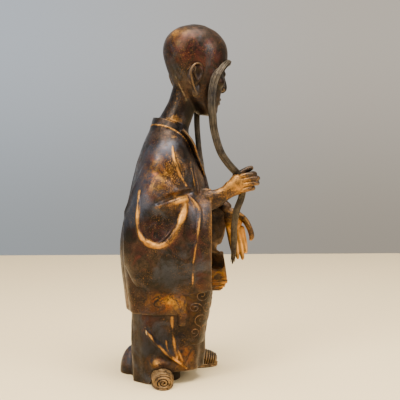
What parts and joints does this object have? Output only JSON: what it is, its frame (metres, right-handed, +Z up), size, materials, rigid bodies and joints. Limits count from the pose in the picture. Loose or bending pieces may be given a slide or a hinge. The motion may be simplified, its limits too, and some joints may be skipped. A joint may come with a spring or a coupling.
{
  "type": "luohan statue",
  "caption": "Standing bald monk in wide-sleeved robes and straw sandals, holding one long trailing eyebrow in his raised right hand; one bronze casting on its own feet.",
  "frame": {"origin": "flat underside of the casting at floor level, on the axis of the body", "axes": "+Z up through the figure; the figure faces -Y and its right hand is on the -X side"},
  "size_m": [0.1311, 0.1669, 0.4227],
  "materials": {
    "lacquered_bronze": "dark brown lacquered and patinated cast bronze with worn gilding on raised edges, semi-gloss"
  },
  "bodies": {
    "root": {"luohan_figure": "lacquered_bronze"}
  },
  "joints": []
}
